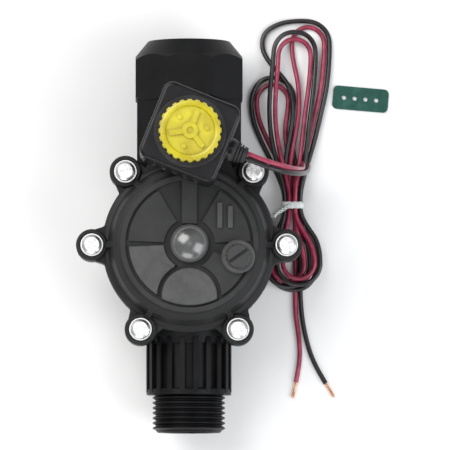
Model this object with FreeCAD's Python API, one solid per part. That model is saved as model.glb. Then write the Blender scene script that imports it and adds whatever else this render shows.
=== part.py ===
import FreeCAD, Part
import math
import os

# Pilot-operated solenoid valve for one inch water lines: a globe body, a six-screw bonnet, a diaphragm between them,
# and a square-bodied solenoid standing on the outlet side of the bonnet. Millimetres.
# The bonnet axis is x = y = 0, the valve stands on z = 0, water flows towards +Y.

V = FreeCAD.Vector
os.makedirs("parts", exist_ok=True)

# ---- driving dimensions -------------------------------------------------------------------------------------------
Z_AX = 24.5            # height of the flow axis
Z_F = 46.0             # joint plane between body and bonnet
R_FLANGE = 39.5
R_EAR_PCD = 44.2       # radius of the screw circle
R_EAR = 7.2
EAR_DEG = (0.0, 49.0, 131.0, 180.0, 240.0, 300.0)
R_CHAMBER = 31.5
BEAD_IN, BEAD_OUT = 32.6, 36.6     # groove for the diaphragm bead
SEAT_IN, SEAT_OUT, Z_SEAT = 12.5, 15.5, 42.0
Y_OUT_END, Y_OUT_START = 95.0, 65.0
OCT_AF = 49.0          # outlet octagon, across flats
NECK_AF, Y_NECK = 47.6, 24.0       # the octagonal neck between it and the bowl
Y_IN_END, Y_IN_THREAD = -84.5, -66.5
R_THREAD, R_THREAD_ROOT, PITCH = 16.6, 15.15, 2.309
R_IN_BORE, R_OUT_BORE = 11.5, 12.5
Y_SOL = 48.0           # solenoid axis
SOL_TURN = -22.0       # how the square coil housing stands about its own axis, degrees
COIL = 36.6            # side of the coil housing
R_EXIT = 27.4          # the leads leave the strain relief at this radius from the solenoid axis
Z_COIL0, Z_COIL1 = 65.4, 99.2
LIFT = 7.0             # diaphragm travel
STROKE = 1.6           # plunger travel
BLEED_X, BLEED_Y = 22.0, -6.0
D_LEAD = 2.2
HANK_X, HANK_Y = 48.0, 21.0        # where the tie holds the hank of leads
TAG_Y = 71.0


# ---- helpers ------------------------------------------------------------------------------------------------------
def cyl(r, z0, z1, x=0.0, y=0.0):
    return Part.makeCylinder(r, z1 - z0, V(x, y, z0))


def cyl_y(r, y0, y1, x=0.0, z=Z_AX):
    return Part.makeCylinder(r, y1 - y0, V(x, y0, z), V(0, 1, 0))


def ring(r0, r1, z0, z1, x=0.0, y=0.0):
    return cyl(r1, z0, z1, x, y).cut(cyl(r0, z0 - 1, z1 + 1, x, y))


def box(x0, x1, y0, y1, z0, z1):
    return Part.makeBox(x1 - x0, y1 - y0, z1 - z0, V(x0, y0, z0))


def rev(points, x=0.0, y=0.0):
    """Solid of revolution about a vertical axis, from (radius, z) points."""
    p = [V(r, 0, z) for r, z in points]
    face = Part.Face(Part.makePolygon(p + [p[0]]))
    s = face.revolve(V(0, 0, 0), V(0, 0, 1), 360)
    s.translate(V(x, y, 0))
    return s


def rev_y(points, z=Z_AX):
    """Solid of revolution about the flow axis, from (radius, y) points."""
    p = [V(r, y, 0) for r, y in points]
    face = Part.Face(Part.makePolygon(p + [p[0]]))
    s = face.revolve(V(0, 0, 0), V(0, 1, 0), 360)
    s.translate(V(0, 0, z))
    return s


def prism(points, z0, z1):
    p = [V(x, y, z0) for x, y in points]
    return Part.Face(Part.makePolygon(p + [p[0]])).extrude(V(0, 0, z1 - z0))


def polygon(n, af, turn=0.0):
    """Corners of a regular polygon from its across-flats width."""
    r = af / 2 / math.cos(math.pi / n)
    return [(r * math.cos(math.radians(turn + 360.0 * k / n)), r * math.sin(math.radians(turn + 360.0 * k / n)))
            for k in range(n)]


def turned(s, deg, x=0.0, y=0.0):
    t = s.copy()
    t.rotate(V(x, y, 0), V(0, 0, 1), deg)
    return t


def moved(s, x=0.0, y=0.0, z=0.0):
    t = s.copy()
    t.translate(V(x, y, z))
    return t


def fuse(parts):
    first, rest = parts[0], list(parts[1:])
    return first.fuse(rest).removeSplitter() if rest else first


def fillet(s, r, pick, tries=(1.0, 0.7, 0.45)):
    """Fillets the picked edges, with a smaller radius if the first one doesn't fit."""
    edges = [e for e in s.Edges if pick(e)]
    if not edges:
        return s
    for k in tries:
        try:
            f = s.makeFillet(r * k, edges)
            if f.isValid() and f.Volume > 0 and len(f.Solids) == 1:
                return f
        except Exception:
            pass
    print("fillet left out:", r, len(edges))
    return s


def at(deg, r=R_EAR_PCD):
    return r * math.cos(math.radians(deg)), r * math.sin(math.radians(deg))


def save(name, *solids):
    out = []
    for s in solids:
        out.extend(s.Solids)
    for s in out:
        if not s.isValid():
            print("NOT VALID", name)
    shape = out[0] if len(out) == 1 else Part.makeCompound(out)
    shape.exportStep("parts/%s.step" % name)
    print("%-22s solids %2d  volume %10.1f" % (name, len(out), sum(s.Volume for s in out)))
    return shape


def thread_points(y0, y1, r_axis_side, crest, root, pitch, sign):
    """Ring thread as (radius, y) points between y0 and y1; sign +1 starts at the crest side of y0."""
    pts = [(r_axis_side, y0)]
    y = y0
    pts.append((root, y0))
    n = int((y1 - y0 - 0.6) / pitch)
    y = y0 + 0.6
    for _ in range(n):
        pts.append((root, y))
        pts.append((crest, y + 0.30 * pitch))
        pts.append((crest, y + 0.55 * pitch))
        pts.append((root, y + 0.85 * pitch))
        y += pitch
    pts.append((root, y1))
    pts.append((r_axis_side, y1))
    return pts


def web(z0, z1):
    """Flared plate that joins an ear to the flange."""
    return prism([(30, -11.5), (35.5, -10.6), (39.5, -8.2), (R_EAR_PCD, -6.7), (R_EAR_PCD, 6.7), (39.5, 8.2), (35.5, 10.6), (30, 11.5)], z0, z1)


# ---- valve body ---------------------------------------------------------------------------------------------------
bowl = rev([(0, 0), (23.5, 0), (25.5, 1.5), (30.5, 9), (34, 20), (35.6, 33), (36.6, 37.2), (R_FLANGE, 38.6), (R_FLANGE, Z_F), (0, Z_F)])
outer = [bowl]
for a in EAR_DEG:
    x, y = at(a)
    outer.append(cyl(R_EAR, 38.6, Z_F, x, y))
    outer.append(rev([(0, 27.5), (4.4, 27.5), (5.4, 29.0), (6.3, 38.6), (0, 38.6)], x, y))
    outer.append(turned(web(38.6, Z_F), a))
    gusset = Part.Face(Part.makePolygon([V(31, -1.6, 12), V(R_EAR_PCD - 2, -1.6, 31), V(R_EAR_PCD - 2, -1.6, 40), V(31, -1.6, 40), V(31, -1.6, 12)])).extrude(V(0, 3.2, 0))
    outer.append(turned(gusset, a))
# outlet: octagonal neck whose top is flush with the joint plane, then the octagonal boss that takes the female thread
outer.append(cyl_y(20.5, 15, 70))
neck = [V(p[0], Y_NECK, p[1] + Z_AX) for p in polygon(8, NECK_AF, 22.5)]
neck = Part.Face(Part.makePolygon(neck + [neck[0]])).extrude(V(0, 68.0 - Y_NECK, 0))
outer.append(neck.common(box(-40, 40, 0, 80, -1, Z_F)))
octa = [V(p[0], Y_OUT_START, p[1] + Z_AX) for p in polygon(8, OCT_AF, 22.5)]
boss = Part.Face(Part.makePolygon(octa + [octa[0]])).extrude(V(0, Y_OUT_END - Y_OUT_START, 0))
boss = boss.common(rev_y([(0, Y_OUT_START), (21.2, Y_OUT_START), (27.0, Y_OUT_START + 4.2), (27.0, Y_OUT_END - 9.6), (24.6, Y_OUT_END - 7.0), (19.5, Y_OUT_END - 0.7), (18.9, Y_OUT_END), (0, Y_OUT_END)]))
outer.append(boss)
outer.append(box(-3, 3, 20, 68, 0, 10))
# raised round pad that meets the bonnet at the pilot return
outer.append(rev([(0, 30), (9.0, 30), (8.2, 42), (7.6, Z_F), (0, Z_F)], 0, Y_SOL))
# inlet: neck with grip ribs, then the male thread
outer.append(cyl_y(17.2, -67.2, -15))
outer.append(rev_y([(0, -44), (18.2, -44), (22.5, -33), (22.5, -20), (0, -20)]))
outer.append(rev_y([(0, -67.2), (19.4, -67.2), (19.4, -65.0), (18.9, -64.4), (0, -64.4)]))
for k in range(20):
    r = Part.makeBox(2.3, 25, 3.0, V(-1.15, -66, 16.6))
    r.rotate(V(0, 0, 0), V(0, 1, 0), 18.0 * k + 9.0)
    r.translate(V(0, 0, Z_AX))
    outer.append(r)
outer.append(box(-3, 3, -60, -18, 0.0, 10))
thread = [(0, Y_IN_END), (R_THREAD_ROOT - 0.9, Y_IN_END), (R_THREAD_ROOT, Y_IN_END + 0.9)]
y = Y_IN_END + 1.1
for _ in range(7):
    thread += [(R_THREAD_ROOT, y), (R_THREAD, y + 0.32 * PITCH), (R_THREAD, y + 0.56 * PITCH), (R_THREAD_ROOT, y + 0.88 * PITCH)]
    y += PITCH
thread += [(R_THREAD_ROOT, y), (R_THREAD_ROOT, Y_IN_THREAD), (0, Y_IN_THREAD)]
outer.append(rev_y(thread))
body = fuse(outer)
# inside
chamber = rev([(0, 5.0), (21.5, 5.0), (26.6, 11.0), (30.1, 21.0), (R_CHAMBER, 32.5), (R_CHAMBER, Z_F + 1), (0, Z_F + 1)])
keep = [cyl(SEAT_OUT, 0, Z_SEAT), cyl_y(13.6, 0, 40, 0, 21.5), box(-13.6, 13.6, 0, 40, 0, 21.5)]
chamber = chamber.cut(keep[0].fuse(keep[1:]))
seat_bore = rev([(0, 12), (SEAT_IN, 12), (SEAT_IN, Z_SEAT - 0.8), (SEAT_IN + 0.8, Z_SEAT), (SEAT_IN + 0.8, Z_F + 1), (0, Z_F + 1)])
inner = [chamber, seat_bore, cyl_y(11.0, 0, 50, 0, 21.5), Part.makeSphere(11.0, V(0, 0, 21.5)),
         cyl_y(R_OUT_BORE, 42, 77)]
pts = thread_points(74.6, Y_OUT_END + 1, 0, R_THREAD, R_THREAD_ROOT, PITCH, 1)
inner.append(rev_y(pts))
inner.append(rev_y([(0, Y_OUT_END - 1.6), (R_THREAD_ROOT, Y_OUT_END - 1.6), (R_THREAD + 0.4, Y_OUT_END), (R_THREAD + 0.4, Y_OUT_END + 1), (0, Y_OUT_END + 1)]))
inlet_cut = cyl_y(R_IN_BORE, Y_IN_END - 1, -14).cut(cyl(SEAT_OUT, 0, Z_F))
inner.append(inlet_cut)
inner.append(ring(BEAD_IN, BEAD_OUT, Z_F - 0.9, Z_F + 1))
inner.append(ring(R_CHAMBER - 1, BEAD_IN + 0.1, 45.0, Z_F + 1))
inner.append(cyl(1.5, 32, Z_F + 1, 0, Y_SOL))
for a in EAR_DEG:
    x, y = at(a)
    inner.append(cyl(3.6, Z_F - 11.0, Z_F + 1, x, y))
# moulding core-outs under the neck, so that its walls stay even
for sx in (-1, 1):
    for y0, y1 in ((44.0, 52.0), (54.5, 62.5)):
        inner.append(box(min(sx * 15.6, sx * 20.8), max(sx * 15.6, sx * 20.8), y0, y1, -1, 22.0))
body = body.cut(inner[0].fuse(inner[1:])).removeSplitter()
save("valve_body", body)

# threaded inserts in the body's six ears
inserts = []
for a in EAR_DEG:
    x, y = at(a)
    s = rev([(2.52, Z_F - 11.0), (3.55, Z_F - 11.0), (3.55, Z_F - 7.2), (3.2, Z_F - 6.8), (3.2, Z_F - 5.4), (3.55, Z_F - 5.0), (3.55, Z_F - 0.1), (2.52, Z_F - 0.1)], x, y)
    inserts.append(s)
save("brass_inserts", *inserts)

# ---- bonnet -------------------------------------------------------------------------------------------------------
Z_TOP = 63.5
dome = rev([(0, Z_F), (R_FLANGE, Z_F), (R_FLANGE, 51.0), (38.6, 52.2), (36.8, 52.8), (34.6, 60.6), (32.6, Z_TOP - 0.4), (31.4, Z_TOP), (0, Z_TOP)])
parts = [dome]
for a in EAR_DEG:
    x, y = at(a)
    parts.append(rev([(0, Z_F), (R_EAR, Z_F), (R_EAR, 53.0), (6.6, 53.8), (0, 53.8)], x, y))
    parts.append(turned(web(Z_F, 51.6), a))
    # stiffening rib from the ear to the dome
    rib = Part.Face(Part.makePolygon([V(29, -1.3, 50), V(R_EAR_PCD - 5.2, -1.3, 50), V(R_EAR_PCD - 5.2, -1.3, 53.4), V(34.4, -1.3, 60.4), V(29, -1.3, 60.4), V(29, -1.3, 50)])).extrude(V(0, 2.6, 0))
    parts.append(turned(rib, a))
# raised rim around the top
parts.append(ring(28.9, 31.3, Z_TOP - 1, Z_TOP + 1.2))
# fan-shaped pad towards the inlet
fan = cyl(12.6, Z_TOP - 1, Z_TOP + 2.4, 0, -23.5).common(cyl(28.0, Z_TOP - 1, Z_TOP + 3)).cut(cyl(10.8, Z_TOP - 2, Z_TOP + 4))
parts.append(fan)


def sector(r0, r1, a0, a1, z0, z1):
    """Flat raised pad between two radii and two angles."""
    n = 14
    p = [at(a0 + (a1 - a0) * k / n, r1) for k in range(n + 1)] + [at(a1 - (a1 - a0) * k / n, r0) for k in range(n + 1)]
    return prism(p, z0, z1)


fan_gap = cyl(14.4, Z_TOP - 2, Z_TOP + 4, 0, -23.5)
left_low = sector(11.4, 27.6, 182.5, 243, Z_TOP - 1, Z_TOP + 1.9).cut(fan_gap)
left_up = sector(11.4, 27.6, 120, 177.5, Z_TOP - 1, Z_TOP + 1.1)
right_low = sector(11.4, 27.6, 297, 341, Z_TOP - 1, Z_TOP + 1.3).cut(fan_gap)
right_up = sector(11.4, 27.6, 2, 60, Z_TOP - 1, Z_TOP + 1.1)
parts += [left_low, left_up, right_low, right_up]
# two upright bars on the upper right pad
parts.append(box(12.6, 14.8, 7.0, 18.5, Z_TOP - 1, Z_TOP + 2.2))
parts.append(box(17.4, 19.6, 7.0, 17.0, Z_TOP - 1, Z_TOP + 2.2))
# hub
hub = rev([(0, Z_TOP - 1), (8.6, Z_TOP - 1), (8.6, Z_TOP + 2.6), (7.8, Z_TOP + 3.4), (0, Z_TOP + 3.4)])
parts.append(hub)
dome_cap = Part.makeSphere(11.0, V(0, 0, Z_TOP + 3.4 - 8.6)).common(cyl(6.9, Z_TOP + 3, Z_TOP + 8))
parts.append(dome_cap)
# bridge to the solenoid seat
parts.append(box(-8.5, 8.5, 10, Y_SOL, 52, Z_TOP - 0.4))
parts.append(box(-3.4, 3.4, 9, Y_SOL - 14.6, Z_TOP - 1, Z_TOP + 1.4))
for sx in (-1, 1):
    p = [(sx * 8.0, 24), (sx * 21.0, 31.5), (sx * 15.5, 46), (sx * 6.0, 46)]
    parts.append(prism(p, Z_F, 52.5))
    parts.append(box(min(sx * 11.2, sx * 13.2), max(sx * 11.2, sx * 13.2), 26, 44, 50, 57.5))
seat_tower = rev([(0, Z_F), (15.2, Z_F), (15.2, 50), (14.4, 61.2), (13.6, 62.3), (0, 62.3)], 0, Y_SOL)
parts.append(seat_tower)
for k in range(8):
    a = 22.5 + 45 * k
    t = box(13.4, 15.6, -1.2, 1.2, Z_F, 59.5)
    parts.append(moved(turned(t, a), 0, Y_SOL))
# bleed boss
parts.append(rev([(0, Z_TOP - 2), (7.6, Z_TOP - 2), (7.6, 67.0), (7.0, 67.8), (0, 67.8)], BLEED_X, BLEED_Y))
bonnet = fuse(parts)
cuts = [rev([(0, Z_F - 1), (R_CHAMBER, Z_F - 1), (R_CHAMBER, 51), (29.6, 57.6), (27.4, 60.2), (0, 60.2)])]
cuts.append(ring(BEAD_IN, BEAD_OUT, Z_F - 1, Z_F + 1.9))
cuts.append(ring(R_CHAMBER - 1, BEAD_IN + 0.1, Z_F - 1, 46.75))
for a in EAR_DEG:
    x, y = at(a)
    cuts.append(cyl(2.75, Z_F - 1, 60, x, y))
    cuts.append(cyl(5.4, 53.3, 60, x, y))
cuts.append(cyl(9.05, 54.2, 63, 0, Y_SOL))
# flat round seat for the guide tube's hexagon
cuts.append(cyl(14.1, 62.3, 70, 0, Y_SOL))
cuts.append(ring(8, 10.9, 60.6, 63, 0, Y_SOL))
cuts.append(Part.makeCylinder(1.3, 22, V(0, 22, 56.4), V(0, 1, 0)))
cuts.append(cyl(2.5, 60, 69, BLEED_X, BLEED_Y).fuse(cyl(4.55, 65.2, 69, BLEED_X, BLEED_Y)))
cuts.append(ring(3.0, 5.0, Z_F - 1, Z_F + 1.45, 0, Y_SOL))
bonnet = bonnet.cut(cuts[0].fuse(cuts[1:]))
nozzle = rev([(0, 53.5), (3.6, 53.5), (2.3, 57.0), (0, 57.0)], 0, Y_SOL)
locator = ring(8.4, 10.4, 57.4, 60.6)
bonnet = bonnet.fuse([nozzle, locator]).cut(cyl(0.9, Z_F - 1, 58, 0, Y_SOL)).removeSplitter()
bonnet = fillet(bonnet, 1.0, lambda e: abs(e.BoundBox.ZMin - (Z_TOP + 2.4)) < 0.01 and abs(e.BoundBox.ZMax - (Z_TOP + 2.4)) < 0.01 and e.Length > 6)
bonnet = fillet(bonnet, 0.8, lambda e: abs(e.BoundBox.ZMin - (Z_TOP + 1.9)) < 0.01 and abs(e.BoundBox.ZMax - (Z_TOP + 1.9)) < 0.01)
save("bonnet", bonnet)

# ---- screws and washers -------------------------------------------------------------------------------------------
screws, washers = [], []
for k, a in enumerate(EAR_DEG):
    x, y = at(a)
    washers.append(ring(2.6, 5.1, 53.35, 54.3, x, y))
    s = rev([(0, 36.5), (1.9, 36.5), (2.5, 37.2), (2.5, 54.32), (4.5, 54.32), (4.5, 55.7), (4.15, 56.7), (3.3, 57.3), (0, 57.5)], x, y)
    cross = box(-2.7, 2.7, -0.55, 0.55, 55.2, 58).fuse(box(-0.55, 0.55, -2.7, 2.7, 55.2, 58))
    s = s.cut(moved(turned(cross, 17.0 + 41.0 * k), x, y))
    screws.append(s)
save("bonnet_screws", *screws)
save("screw_washers", *washers)

# ---- diaphragm and what rides on it -------------------------------------------------------------------------------
dia = rev([(3.1, Z_SEAT + 0.05), (17.6, Z_SEAT + 0.05), (19.2, 42.5), (31.4, 45.1), (32.75, 45.2), (36.45, 45.2), (36.45, 47.8), (32.75, 47.8), (32.75, 46.65),
           (31.2, 46.6), (19.0, 44.2), (17.4, 44.05), (3.1, 44.05)])
save("diaphragm", dia)
upper = rev([(3.1, 44.1), (17.0, 44.1), (17.0, 45.4), (15.6, 46.0), (15.6, 48.8), (14.4, 48.8), (14.4, 46.2), (9.6, 46.2), (9.0, 48.4), (3.1, 48.4)])
save("diaphragm_plate", upper)
hub_low = rev([(0, 33.0), (5.6, 33.0), (6.6, 34.0), (6.6, 39.2), (11.6, 40.4), (11.6, 42.0), (3.0, 42.0), (3.0, 51.0), (0, 51.0)])
vanes = [turned(box(0, 12.1, -0.9, 0.9, 31.5, 40.8), 45 + 90 * k) for k in range(4)]
guide = fuse([hub_low] + vanes).cut(cyl(0.75, 30, 60))
save("seat_guide", guide)
nut = prism(polygon(6, 8.0), 48.45, 50.9).cut(cyl(3.05, 48, 53))
save("clamp_nut", nut)
# metering pin: a thin rod through the moving stack, kept clear by the bonnet
pin = cyl(0.6, 29.0, 51.05).fuse(cyl(1.5, 51.05, 52.0)).removeSplitter()
save("metering_pin", pin)


def helix_spring(x, y, z0, z1, r, wire, turns):
    pitch = (z1 - z0 - wire) / turns
    h = Part.makeHelix(pitch, z1 - z0 - wire, r)
    start = Part.Wire([Part.makeCircle(wire / 2, V(r, 0, 0), V(0, 1, pitch / (2 * math.pi * r)))])
    s = Part.Wire(h.Edges).makePipeShell([start], True, True)
    s.translate(V(x, y, z0 + wire / 2))
    return s


save("main_spring", helix_spring(0, 0, 46.3, 60.1, 12.4, 1.5, 4.0))

# ---- solenoid -----------------------------------------------------------------------------------------------------
tube_pts = [(5.05, 55.6), (8.2, 55.6)]
z = 55.9
for _ in range(3):
    tube_pts += [(8.2, z), (8.9, z + 0.45), (8.9, z + 0.9), (8.2, z + 1.3)]
    z += 1.5
tube_pts += [(8.2, 62.35), (6.0, 62.35), (6.0, 97.0), (5.05, 97.0)]
tube = rev(tube_pts, 0, Y_SOL)
hexa = moved(prism(polygon(6, 24.0, 8.0), 62.35, 65.3), 0, Y_SOL).common(rev([(0, 62.35), (12.6, 62.35), (13.6, 63.2), (13.6, 64.6), (12.8, 65.3), (0, 65.3)], 0, Y_SOL)).cut(cyl(5.05, 60, 70, 0, Y_SOL))
save("guide_tube", tube.fuse(hexa).removeSplitter())
core = rev([(0, 84.9), (5.0, 84.9), (5.0, 97.05), (6.0, 97.05), (6.0, 99.4), (4.0, 99.4), (4.0, 104.4), (3.5, 104.9), (0, 104.9)], 0, Y_SOL)
save("fixed_core", core)
save("solenoid_oring", Part.makeTorus(9.9, 0.78, V(0, Y_SOL, 61.45)))
save("pilot_port_oring", Part.makeTorus(4.0, 0.68, V(0, Y_SOL, Z_F + 0.72)))

plunger = rev([(0, 58.6), (4.4, 58.6), (4.96, 59.2), (4.96, 82.7), (4.5, 83.25), (0, 83.25)], 0, Y_SOL)
plunger = plunger.cut(cyl(2.9, 69.0, 84, 0, Y_SOL)).cut(cyl(3.3, 58, 60.6, 0, Y_SOL))
for k in range(2):
    g = moved(turned(box(4.2, 6, -0.6, 0.6, 58, 84), 180 * k + 20), 0, Y_SOL)
    plunger = plunger.cut(g)
save("plunger", plunger.removeSplitter())
save("plunger_seal", rev([(0, 57.05), (2.9, 57.05), (3.25, 57.6), (3.25, 60.55), (0, 60.55)], 0, Y_SOL))
save("plunger_spring", helix_spring(0, Y_SOL, 69.05, 84.85, 2.3, 0.5, 9.0))


def sol(s):
    """Turns a shape drawn square to the coil housing and moves it onto the solenoid's axis."""
    return moved(turned(s, SOL_TURN), 0, Y_SOL)


h = COIL / 2
house = box(-h, h, -h, h, Z_COIL0, Z_COIL1)
house = fillet(house, 4.5, lambda e: abs(e.BoundBox.XMax - e.BoundBox.XMin) < 0.01 and abs(e.BoundBox.YMax - e.BoundBox.YMin) < 0.01)
house = fillet(house, 1.6, lambda e: e.BoundBox.ZMin > Z_COIL1 - 0.01)
house = fillet(house, 0.9, lambda e: e.BoundBox.ZMax < Z_COIL0 + 0.01)
gland_boss = Part.makeCylinder(5.2, 4.0, V(h - 1.5, 0, 90.0), V(1, 0, 0))
house = house.fuse(gland_boss)
cavity = box(-14.6, 14.6, -13.2, 13.2, 67.0, 97.2)
house = house.cut(cavity.fuse([cyl(6.15, 60, 100), Part.makeCylinder(3.2, 12, V(10, 0, 90.0), V(1, 0, 0))])).removeSplitter()
# shallow vertical flutes on the three free sides
flutes = []
for side in (90, 180, 270):
    for k in range(-2, 3):
        flutes.append(turned(Part.makeCylinder(0.8, 24, V(h + 0.35, 5.2 * k, 70.0)), side))
house = house.cut(flutes[0].fuse(flutes[1:]))
save("coil_housing", sol(house))

yoke = box(-14.4, 14.4, -10.5, 10.5, 67.2, 97.0).cut(box(-12.4, 12.4, -11, 11, 69.2, 95.0)).cut(cyl(6.2, 60, 100))
save("coil_yoke", sol(yoke))
bobbin = rev([(6.2, 69.25), (11.8, 69.25), (11.8, 70.4), (7.3, 70.4), (7.3, 90.0), (11.8, 90.0), (11.8, 91.2), (6.2, 91.2)])
save("coil_bobbin", sol(bobbin))
wound = [(7.35, 70.45)]
z = 70.45
while z < 89.2:
    wound += [(10.7, z + 0.15), (11.05, z + 0.5), (11.05, z + 0.9), (10.7, z + 1.25)]
    z += 1.35
wound += [(10.7, 89.95), (7.35, 89.95)]
save("coil_winding", sol(rev(wound)))
save("latch_magnet", sol(ring(6.25, 11.6, 91.3, 94.9)))

# rubber strain relief where the two leads come out
grommet = Part.makeCone(5.0, 3.4, 6.8, V(h + 2.5, 0, 90.0), V(1, 0, 0))
stem = Part.makeCylinder(3.15, 5.5, V(h + 2.6 - 5.5, 0, 90.0), V(1, 0, 0))
for k in range(3):
    g = Part.makeCylinder(9, 0.55, V(h + 3.9 + 1.4 * k, 0, 90.0), V(1, 0, 0)).cut(Part.makeCylinder(3.35 - 0.15 * k, 2, V(h + 3.4 + 1.4 * k, 0, 90.0), V(1, 0, 0)))
    grommet = grommet.cut(g)
grommet = grommet.fuse(stem).removeSplitter().common(cyl(R_EXIT, 80, 100))
save("lead_grommet", sol(grommet))

# black seal ring and the yellow cap that holds the coil down
save("cap_seal", rev([(6.2, 99.25), (16.2, 99.25), (16.2, 100.1), (15.6, 100.6), (6.2, 100.6)], 0, Y_SOL))
cap = rev([(0, 99.45), (6.1, 99.45), (6.1, 100.65), (14.0, 100.65), (14.0, 106.2), (13.3, 107.2), (12.2, 107.4), (11.2, 107.2), (10.7, 106.0), (0, 106.0)])
cap = cap.cut(cyl(4.07, 99, 105.2))
notch = [turned(Part.makeCylinder(1.15, 8, V(14.45, 0, 100.0)), 15.0 * k) for k in range(24)]
cap = cap.cut(notch[0].fuse(notch[1:]))
# raised centre with a turning grip and three small pips
grip = [cyl(3.6, 105.5, 107.3)]
for k in range(3):
    grip.append(turned(box(2.5, 9.4, -1.15, 1.15, 105.5, 107.1), 90 + 120 * k))
    grip.append(turned(cyl(1.1, 105.5, 106.9, 7.6, 0), 30 + 120 * k))
cap = cap.fuse(grip).cut(cyl(1.6, 106.2, 108)).removeSplitter()
save("retaining_cap", sol(cap))

# ---- bleed screw --------------------------------------------------------------------------------------------------
bleed = rev([(0, 60.8), (0.9, 60.8), (2.35, 62.6), (2.35, 64.9), (2.45, 65.0), (2.45, 68.3), (5.6, 68.3), (5.6, 71.2), (5.0, 72.0), (0, 72.0)])
bleed = bleed.cut(box(-6, 6, -0.8, 0.8, 70.4, 73))
kn = [turned(Part.makeCylinder(0.55, 6, V(5.75, 0, 67.5)), 20.0 * k + 10) for k in range(18)]
bleed = bleed.cut(kn[0].fuse(kn[1:])).removeSplitter()
bleed = moved(turned(bleed, 35.0), BLEED_X, BLEED_Y)
save("bleed_screw", bleed)
save("bleed_oring", Part.makeTorus(3.5, 0.98, V(BLEED_X, BLEED_Y, 66.25)))


# ---- leads --------------------------------------------------------------------------------------------------------
def tube_path(points):
    """Straight runs joined by tangent arcs, each arc as large as its two runs allow."""
    edges, radii = [], []
    start = points[0]
    for i in range(1, len(points) - 1):
        a, b, c = points[i - 1], points[i], points[i + 1]
        u, w = a.sub(b), c.sub(b)
        lu, lw = u.Length, w.Length
        u.normalize()
        w.normalize()
        inner_angle = math.acos(max(-1.0, min(1.0, u.dot(w))))
        half = (math.pi - inner_angle) / 2
        t = 0.45 * min(lu, lw)
        radius = t / math.tan(half)
        radii.append(radius)
        p = b.add(V(u.x * t, u.y * t, u.z * t))
        q = b.add(V(w.x * t, w.y * t, w.z * t))
        bis = u.add(w)
        bis.normalize()
        centre = b.add(bis.multiply(radius / math.sin(inner_angle / 2)))
        m = b.sub(centre)
        m.normalize()
        mid = centre.add(m.multiply(radius))
        edges.append(Part.LineSegment(start, p).toShape())
        edges.append(Part.Arc(p, mid, q).toShape())
        start = q
    edges.append(Part.LineSegment(start, points[-1]).toShape())
    return Part.Wire(edges), radii


def tube_along(name, points, r, keep=None):
    wire, radii = tube_path(points)
    d = points[1].sub(points[0])
    circle = Part.Wire([Part.makeCircle(r, points[0], d)])
    s = wire.makePipeShell([circle], True, False)
    ideal = math.pi * r * r * wire.Length
    if keep:
        s = s.common(keep)
    print("%s length %.1f, volume over ideal %.4f, radii %s" % (name, wire.Length, s.Volume / ideal, [round(x, 1) for x in radii]))
    save(name, s)
    return wire.Length


c, sn = math.cos(math.radians(SOL_TURN)), math.sin(math.radians(SOL_TURN))


def world(x, y, z):
    return V(x * c - y * sn, Y_SOL + x * sn + y * c, z)


# centreline of the pair, and the direction (degrees) from the red lead to the black one
PAIR = [(world(26.4, 0, 90.0), 248.0), (world(34.9, 0, 90.2), 252.0), (V(40.6, 32.4, 88.0), 264.0), (V(47.0, 31.6, 81.0), 284.0),
        (V(50.6, 32.4, 69.5), 306.0), (V(52.4, 33.6, 54.5), 328.0), (V(53.4, 36.6, 40.0), 346.0), (V(53.4, 38.6, 29.5), 354.0), (V(52.8, 38.6, 20.6), 360.0),
        (V(51.8, 35.4, 13.6), 360.0), (V(50.6, 29.8, 9.8), 360.0), (V(50.3, 22.8, 8.75), 360.0)]


def beside(side):
    return [p.add(V(math.cos(math.radians(a)) * 1.2 * side, math.sin(math.radians(a)) * 1.2 * side, 0)) for p, a in PAIR]


RED_TAIL = [V(49.2, -17.8, 1.1), V(49.5, -30.0, 1.1), V(51.2, -40.5, 1.1), V(51.6, -51.0, 1.1), V(49.6, -60.5, 1.1)]
BLACK_TAIL = [V(51.6, -17.8, 1.1), V(52.4, -30.5, 1.1), V(54.6, -42.0, 1.1), V(58.2, -52.5, 1.1), V(63.4, -61.0, 1.1)]
past_exit = cyl(200, -50, 300, 0, Y_SOL).cut(cyl(R_EXIT, -60, 310, 0, Y_SOL))
tube_along("red_lead", beside(-1), D_LEAD / 2, past_exit)
tube_along("black_lead", beside(1), D_LEAD / 2, past_exit)
tube_along("red_lead_tail", RED_TAIL, D_LEAD / 2)
tube_along("black_lead_tail", BLACK_TAIL, D_LEAD / 2)


def tip(points, length=7.0, r=0.62):
    a, b = points[-2], points[-1]
    d = b.sub(a)
    return Part.makeCylinder(r, length, b, d)


save("stripped_ends", tip(RED_TAIL), tip(BLACK_TAIL))


# the folded and tied part of the leads, as one solid of its outer shape
def lobe(points, z0, z1):
    return prism([(HANK_X + a, HANK_Y + b) for a, b in points], z0, z1)


waist = lobe([(-4.55, -9), (4.55, -9), (4.55, 3), (5.6, 14), (-5.6, 14), (-4.55, 3)], 0.7, 9.8)
low = lobe([(-4.5, -3), (-8.6, -11), (-11.4, -18), (-11.9, -25), (-10.4, -32), (-6.5, -37.6), (-1.5, -39.8), (3.5, -39.6), (8.0, -36.6),
            (11.2, -31), (12.2, -24), (11.0, -16.5), (8.4, -10), (4.5, -3)], 0, 8.6)
short_top = lobe([(-4.5, 3), (-10.5, 12), (-16.0, 24), (-19.6, 36), (-20.2, 46), (-17.6, 54.5), (-12.5, 58.6), (-7.0, 59.0), (-2.2, 56.0), (0.8, 49), (2.4, 34), (4.5, 3)], 0, 5.2)
long_top = lobe([(-4.5, 3), (-3.6, 40), (-6.0, 58), (-13.0, 65), (-16.4, 73.5), (-15.4, 81), (-9.5, 85.6), (-1.0, 87.4), (8.0, 87.2), (14.6, 84.2), (18.4, 77.5),
                 (19.0, 66), (16.8, 50), (13.6, 33), (9.2, 15), (4.5, 3)], 0, 5.2)
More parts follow.
